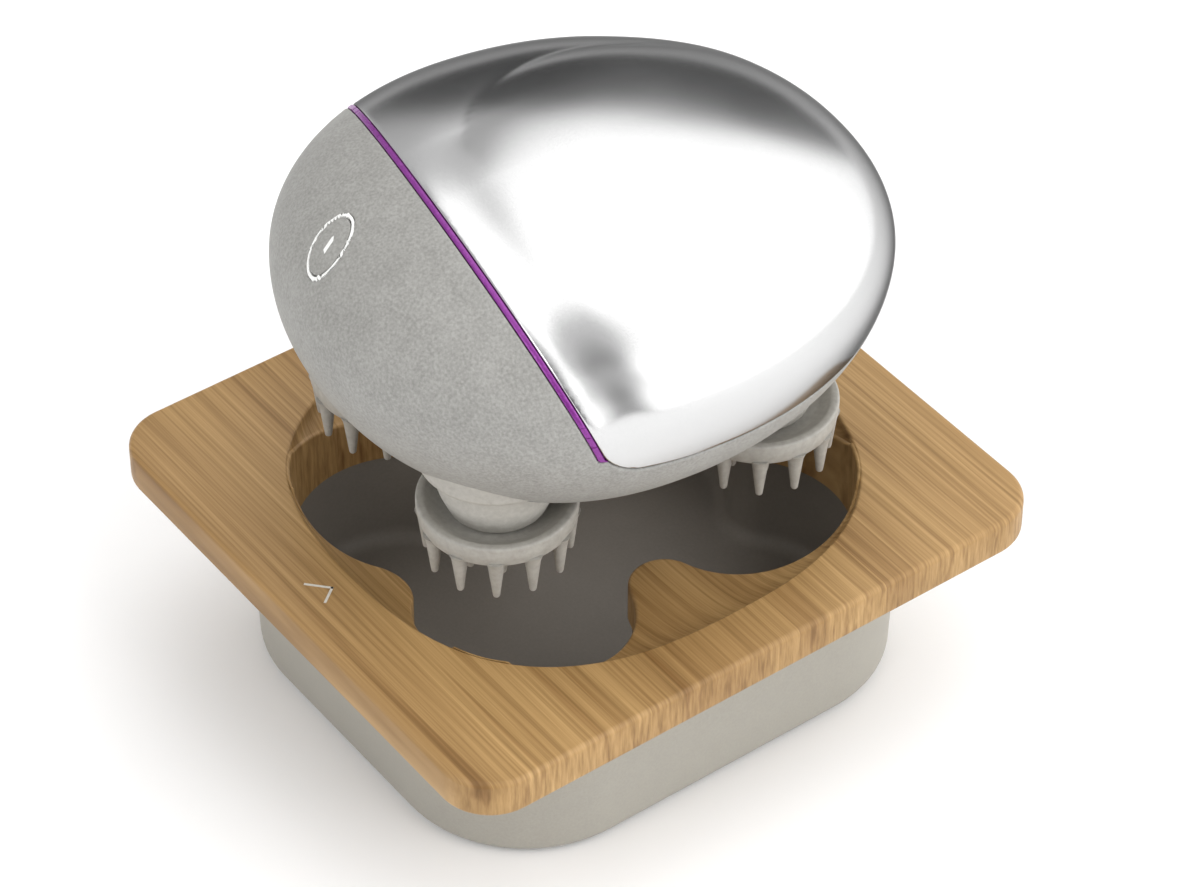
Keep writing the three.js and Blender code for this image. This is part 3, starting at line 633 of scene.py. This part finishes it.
def rounded_corner(a, b, radius):
    """Smaller of two distances, with a round corner where both are small."""
    inner = radius - np.hypot(radius - a, radius - b)
    return np.where((a < radius) & (b < radius), inner, np.minimum(a, b))


def silver_field(points):
    return rounded_corner(behind_seam(points) - SEAM["strip"], points[:, 2] - BELT_Z, SEAM["corner"])


def strip_field(points):
    u = behind_seam(points)
    middle = SEAM["strip"] / 2 - np.abs(u - SEAM["strip"] / 2)
    return smallest(middle, points[:, 2] - BELT_Z - SEAM["strip_end"])


def button_axes(points):
    """Sideways, upward and outward distance from the button's centre."""
    across = np.cross(BUTTON["axis"], [0, 0, 1])
    across = -across / np.linalg.norm(across)
    upwards = np.cross(BUTTON["axis"], across)
    arm = points - BUTTON["centre"]
    lean = BUTTON["lean"]
    a, b = arm @ across, arm @ upwards
    sideways = a * math.cos(lean) - b * math.sin(lean)
    upward = b * math.cos(lean) + a * math.sin(lean)
    return sideways, upward, arm @ BUTTON["axis"]


def button_distance(points):
    a, b, depth = button_axes(points)
    return np.where(depth < -BUTTON["reach"], FAR, np.hypot(a / BUTTON["narrow"], b))


def port_field(points):
    a = PORT["half_x"] - np.abs(points[:, 0])
    b = PORT["half_z"] - np.abs(points[:, 2] - PORT["z"])
    inside = rounded_corner(a, b, PORT["corner"])
    return np.where(points[:, 1] > 0, inside, -FAR)


def collar_distance(points):
    """Distance outside the nearest head's collar, or outside its wider boss higher up."""
    nearest = np.min([np.hypot(points[:, 0] - x, points[:, 1] - y) for x, y in HEAD_AXES], axis=0)
    radius = np.where(points[:, 2] > COLLAR["boss_low"] - 2, COLLAR["boss"], COLLAR["radius"])
    return np.where(points[:, 2] < COLLAR["top"] + 1, nearest - radius, FAR)


def screw_distance(points):
    places = [(sx * SCREWS["x"], sy * SCREWS["y"]) for sx in (1, -1) for sy in (1, -1)]
    nearest = np.min([np.hypot(points[:, 0] - x, points[:, 1] - y) for x, y in places], axis=0)
    return nearest - SCREWS["radius"]


def body_field(points):
    return smallest(
        -silver_field(points) - VISIBLE_GAP,
        -strip_field(points) - VISIBLE_GAP,
        points[:, 2] - COVER_Z - VISIBLE_GAP,
        button_distance(points) - BUTTON["radius"] - BUTTON["ring"] - 2 * VISIBLE_GAP,
        -port_field(points) - VISIBLE_GAP,
        collar_distance(points) - VISIBLE_GAP,
    )


def silver_cut(points):
    return silver_field(points) - VISIBLE_GAP


def base_field(points):
    return smallest(
        COVER_Z - VISIBLE_GAP - points[:, 2], collar_distance(points) - VISIBLE_GAP, screw_distance(points)
    )


def button_field(points):
    return BUTTON["radius"] - BUTTON["play"] - button_distance(points)


def ring_field(points):
    middle = BUTTON["radius"] + VISIBLE_GAP + BUTTON["ring"] / 2
    return BUTTON["ring"] / 2 - np.abs(button_distance(points) - middle)


def dash_field(points):
    """Short slanted stroke on the button."""
    a, b, _ = button_axes(points)
    slant = DASH["slant"]
    along = np.abs(b * math.cos(slant) + a * math.sin(slant))
    sideways = a * math.cos(slant) - b * math.sin(slant)
    reach = np.hypot(np.maximum(0, along - DASH["half_length"]), sideways)
    on_button = button_distance(points) < BUTTON["radius"] - DASH["margin"]
    return np.where(on_button, DASH["half_width"] - reach, -FAR)


def fade(value, low, high):
    share = np.clip((value - low) / (high - low), 0, 1)
    return share * share * (3 - 2 * share)


CROWN = {"x": -2, "y": 18, "half_x": 28, "half_y": 34, "drop": 1.1, "soft": 0.4, "inwards": 6, "outwards": 12}
CREASE = {"full_x": -14, "end_x": 2, "full_y": 26, "end_y": 46}  # the crease is on the left and fades out
SCOOP = {
    "from_seam": 5.2, "width": 4.2, "depth": 0.6, "start_x": -16, "full_x": 10,
    "lead": 3, "start_z": BELT_Z - 4, "full_z": BELT_Z + 12,
}


def relief(points):
    """Depth of the silver shell below the plain form: a crease beside the crown, a scoop by the seam."""
    x, y, z = points.T
    ring = np.hypot((x - CROWN["x"]) / CROWN["half_x"], (y - CROWN["y"]) / CROWN["half_y"])
    outside = (ring - 1) * (CROWN["half_x"] + CROWN["half_y"]) / 2
    away = np.hypot(outside, CROWN["soft"]) - CROWN["soft"]
    crease = np.exp(-away / np.where(outside < 0, CROWN["inwards"], CROWN["outwards"]))
    left_side = fade(-x, -CREASE["end_x"], -CREASE["full_x"])
    front_side = fade(-y, -CREASE["end_y"], -CREASE["full_y"])
    crown = CROWN["drop"] * crease * left_side * front_side * (z > BELT_Z)
    s = behind_seam(points) - SEAM["strip"]
    valley = np.exp(-(((s - SCOOP["from_seam"]) / SCOOP["width"]) ** 2))
    right_side = fade(x, SCOOP["start_x"], SCOOP["full_x"])
    scoop = SCOOP["depth"] * valley * right_side * fade(s, 0, SCOOP["lead"])
    return crown + scoop * fade(z, SCOOP["start_z"], SCOOP["full_z"])


def split(points, triangles, field, at):
    """Cuts the triangles that the field crosses at a value, so that edges run along it."""
    value = field(points) - at
    side = value[triangles] > 0
    count = side.sum(axis=1)
    mixed = (count == 1) | (count == 2)
    lone_side = count[mixed] == 1
    lone = np.argmax(side[mixed] == lone_side[:, None], axis=1)
    order = (lone[:, None] + np.arange(3)) % 3
    a, b, c = np.take_along_axis(triangles[mixed], order, axis=1).T
    pairs = np.concatenate([np.stack([a, b], axis=1), np.stack([a, c], axis=1)])
    edges, inverse = np.unique(np.sort(pairs, axis=1), axis=0, return_inverse=True)
    start, end = edges.T
    share = (value[start] / (value[start] - value[end]))[:, None]
    added = points[start] + share * (points[end] - points[start])
    index = len(points) + inverse.ravel()
    ab, ac = index[: len(a)], index[len(a):]
    pieces = [np.stack([a, ab, ac], axis=1), np.stack([ab, b, c], axis=1), np.stack([ab, c, ac], axis=1)]
    return np.concatenate([points, added]), np.concatenate([triangles[~mixed], *pieces])


def border(triangles):
    """Directed edges with a triangle on one side only."""
    edges = np.concatenate([triangles[:, [0, 1]], triangles[:, [1, 2]], triangles[:, [2, 0]]])
    key = np.sort(edges, axis=1)
    _, inverse, count = np.unique(key, axis=0, return_inverse=True, return_counts=True)
    return edges[count[inverse.ravel()] == 1]


FORM = form_mesh()


def skin_piece(
    name, field, material, body, nodes=(), edge=0.35, wall=1.4, raised=0.0, base=False, plain=True
):
    """Part of the form's surface where the field is positive, with a rounded edge and a wall behind it."""
    points, triangles = FORM
    if base:
        points, triangles = split(points, triangles, lambda p: p[:, 2], BASE_Z)
    for at in (0, edge * 0.12, edge * 0.45, edge):
        points, triangles = split(points, triangles, field, at)
    triangles = triangles[field(points[triangles].mean(axis=1)) > 0]
    used, triangles = np.unique(triangles, return_inverse=True)
    triangles = triangles.reshape(-1, 3)
    points = points[used]
    inside = np.clip(field(points), 0, edge)
    normal = form_normal(points)
    sunk = edge - np.sqrt(np.maximum(0, edge**2 - (edge - inside) ** 2)) - raised
    if base:
        flat = points[:, 2] <= BASE_Z + 1e-6
        points[flat, 2] = BASE_Z
        normal[flat] = (0, 0, -1)
    if not plain:
        sunk = sunk + relief(points)
    outer = points - normal * sunk[:, None]
    loose = border(triangles)
    rim = np.unique(loose)
    inner_index = np.full(len(points), -1)
    inner_index[rim] = len(points) + np.arange(len(rim))
    inner = outer[rim] - normal[rim] * wall
    walls = np.stack([loose[:, 1], loose[:, 0], inner_index[loose[:, 0]], inner_index[loose[:, 1]]], axis=1)
    faces = triangles.tolist() + walls.tolist()
    return mesh_object(name, placed(np.concatenate([outer, inner])), faces, material, body, nodes, 50)


def massager_skins():
    grey, white = MATERIALS["grey_body"], MATERIALS["white_trim"]
    silver, purple, silicone = (MATERIALS[name] for name in ("silver", "purple", "silicone"))
    skin_piece("silver_cover", silver_cut, silver, "massager", ["top_shell"], plain=False)
    skin_piece("purple_line", strip_field, purple, "massager", ["accent_strip"], edge=0.25)
    skin_piece("grey_case_front", body_field, grey, "massager", ["body_shell"])
    skin_piece("bottom_cover", base_field, grey, "massager", ["base_plate"], base=True)
    skin_piece("button_cap", button_field, grey, "power_button", ["power_button"], edge=0.2)
    skin_piece("button_circle", ring_field, white, "massager", ["button_ring"], edge=0.12)
    skin_piece("port_flap", port_field, silicone, "charge_port_plug", ["charge_port_plug"], wall=1.0)
    dash = skin_piece("button_dash", dash_field, white, "power_button", edge=0.1, wall=0.2, raised=0.05)


# ---------------------------------------------------------------- massage heads

def head_collars():
    bore = 3 + GAP
    profile = [
        (bore, COLLAR["low"] + 2.2, 0),
        (6, COLLAR["low"] + 2.2, 0.2),
        (6, COLLAR["low"], 0.2),
        (COLLAR["low_radius"], COLLAR["low"], 0.8),
        (COLLAR["radius"], COLLAR["low"] + 5, 1.5),
        (COLLAR["radius"], COLLAR["boss_low"] - 1.2, 1.0),
        (COLLAR["boss"], COLLAR["boss_low"], 0.9),
        (COLLAR["boss"], COLLAR["top"] - 3, 0),
        (COLLAR["boss"] - 2, COLLAR["top"] - 3, 0),
        (bore, COLLAR["boss_low"] + 1, 0),
    ]
    for i, (x, y) in enumerate(HEAD_AXES, 1):
        points, faces = turned(profile, (x, y), 96)
        nodes = [f"head_collar_{i}"]
        mesh_object(f"collar_{i}", placed(points), faces, MATERIALS["collar"], "massager", nodes)


def bristle(x, y, top, length):
    """Tapered finger with a round tip, a little flared at its root."""
    base, tip = BRISTLES["base"], BRISTLES["tip"]
    profile = [
        (base + 0.45, top + 0.4, 0),
        (base, top - 0.9, 0.6),
        (tip, top - length, 0.5),
        (0.05, top - length, 0),
    ]
    return turned(profile, (x, y), 20)


def bristle_circle(x, y, count, reach, turn, length):
    """A head's bristles on one circle; turn is a share of the step between them."""
    parts = []
    for k in range(count):
        angle = 2 * math.pi * (k + turn) / count
        centre_x, centre_y = x + reach * math.cos(angle), y + reach * math.sin(angle)
        parts.append(bristle(centre_x, centre_y, HEAD["low"] + 0.3, length))
    return parts


def bristle_heads():
    low, rim, top = HEAD["low"], HEAD["rim"], HEAD["rim_top"]
    hub = 5.5
    profile = [
        (0.3, low, 0),
        (rim - 0.6, low, 0.5),
        (rim, top - 2.4, 0.8),
        (rim, top, 0.55),
        (rim - 1.3, top, 0.5),
        (rim - 4.4, HEAD["floor"], 2.2),
        (hub, HEAD["floor"], 0.2),
        (hub, low + 1, 0.2),
        (0.3, low + 1, 0),
    ]
    for i, (x, y) in enumerate(HEAD_AXES, 1):
        parts = [turned(profile, (x, y), 96)]
        parts += bristle_circle(x, y, BRISTLES["outer"], BRISTLES["outer_radius"], 0, low + 0.25)
        parts += bristle_circle(x, y, BRISTLES["inner"], BRISTLES["inner_radius"], 0.5, low - 0.9)
        points, faces = joined(parts)
        name = f"soft_head_{i}"
        mesh_object(name, placed(points), faces, MATERIALS["silicone"], f"head_{i}", [f"bristle_head_{i}"])


# ---------------------------------------------------------------- studio

CAMERA = {"azimuth": 53.48, "elevation": 41.97, "distance": 803.2, "lens": 135.7, "aim": (-2.83, 6.02)}


def camera():
    data = bpy.data.cameras.new("camera")
    data.lens = CAMERA["lens"]
    data.sensor_width = 36
    data.clip_start = 0.05
    view = bpy.data.objects.new("camera", data)
    bpy.context.scene.collection.objects.link(view)
    azimuth, elevation = (math.radians(CAMERA[key]) for key in ("azimuth", "elevation"))
    level_share = math.cos(elevation)
    back = Vector((math.sin(azimuth) * level_share, -math.cos(azimuth) * level_share, math.sin(elevation)))
    aim = Vector((*CAMERA["aim"], PLATE_TOP)) * MM
    view.location = aim + back * CAMERA["distance"] * MM
    view.rotation_mode = "QUATERNION"
    view.rotation_quaternion = (-back).to_track_quat("-Z", "Y")
    bpy.context.scene.camera = view


def floor():
    nodes = Nodes("studio_floor")
    clouds = nodes.noise(nodes.place(), 3, 2)
    color = nodes.ramp(clouds, (0.3, srgb(246, 246, 246)), (0.7, srgb(252, 252, 252)))
    material = nodes.set(Base_Color=color, Roughness=0.9, Specular_IOR_Level=0.1)
    half = 6.0
    mesh = bpy.data.meshes.new("floor")
    corners = [(-half, -half, 0), (half, -half, 0), (half, half, 0), (-half, half, 0)]
    mesh.from_pydata(corners, [], [(0, 1, 2, 3)])
    mesh.materials.append(material)
    sheet = bpy.data.objects.new("floor", mesh)
    bpy.context.scene.collection.objects.link(sheet)


LIGHT_AIM = (0, 0, 0.06)


def area_light(name, position, size, power):
    data = bpy.data.lights.new(name, "AREA")
    data.shape = "RECTANGLE"
    data.size, data.size_y = size
    data.energy = power
    lamp = bpy.data.objects.new(name, data)
    bpy.context.scene.collection.objects.link(lamp)
    lamp.location = position
    lamp.rotation_mode = "QUATERNION"
    lamp.rotation_quaternion = (Vector(LIGHT_AIM) - Vector(position)).to_track_quat("-Z", "Y")


STUDIO_LIGHT = 0.6  # strength of the studio away from its softbox and cards
SOFTBOX = {"card": ((0.45, 0.65, 0.61), 62, 86), "strength": 1.8}
CARDS = (  # direction, angles of the dark card and of its soft edge in degrees, share of light left
    ((-0.740, 0.667, 0.087), 21, 29, 0.04),
    ((-0.46, 0.84, -0.30), 10, 22, 0.3),
    ((0.60, -0.50, 0.62), 6, 36, 0.3),
    ((0.31, -0.21, 0.93), 8, 24, 0.4),
    ((0.77, -0.62, 0.10), 12, 36, 0.35),
)


def surroundings():
    """Pale studio with a softbox and dark cards, which the silver shell reflects."""
    world = bpy.data.worlds.new("studio")
    bpy.context.scene.world = world
    world.use_nodes = True
    tree = world.node_tree
    background = tree.nodes["Background"]
    direction = tree.nodes.new("ShaderNodeTexCoord").outputs["Generated"]

    def card(towards, inner, outer):
        """1 away from the card and 0 inside it; inner and outer are angles in degrees."""
        dot = tree.nodes.new("ShaderNodeVectorMath")
        dot.operation = "DOT_PRODUCT"
        tree.links.new(direction, dot.inputs[0])
        dot.inputs[1].default_value = Vector(towards).normalized()
        ramp = tree.nodes.new("ShaderNodeMapRange")
        ramp.interpolation_type = "SMOOTHSTEP"
        tree.links.new(dot.outputs["Value"], ramp.inputs["Value"])
        ramp.inputs["From Min"].default_value = math.cos(math.radians(outer))
        ramp.inputs["From Max"].default_value = math.cos(math.radians(inner))
        ramp.inputs["To Min"].default_value = 1.0
        ramp.inputs["To Max"].default_value = 0.0
        return ramp.outputs["Result"]

    def combine(operation, *values):
        node = tree.nodes.new("ShaderNodeMath")
        node.operation = operation
        for socket, value in zip(node.inputs, values):
            if isinstance(value, bpy.types.NodeSocket):
                tree.links.new(value, socket)
            else:
                socket.default_value = value
        return node.outputs["Value"]

    softbox = combine("SUBTRACT", 1.0, card(*SOFTBOX["card"]))
    light = combine("MULTIPLY_ADD", softbox, SOFTBOX["strength"] - STUDIO_LIGHT, STUDIO_LIGHT)
    for towards, inner, outer, left in CARDS:
        shade = combine("MULTIPLY_ADD", card(towards, inner, outer), 1.0 - left, left)
        light = combine("MULTIPLY", light, shade)
    tree.links.new(light, background.inputs["Strength"])
    background.inputs["Color"].default_value = (1, 1, 1, 1)


def lights():
    area_light("key", (0.2, -1.2, 1.0), (0.9, 0.9), 7)
    area_light("right_fill", (1.3, 0.5, 0.9), (0.8, 1.2), 5)


bpy.context.scene.view_settings.view_transform = "Standard"
camera()
floor()
surroundings()
lights()
dress_cad_nodes()
bamboo_plate()
stand_box()
well_tray()
stand_feet()
front_mark()
massager_skins()
head_collars()
bristle_heads()
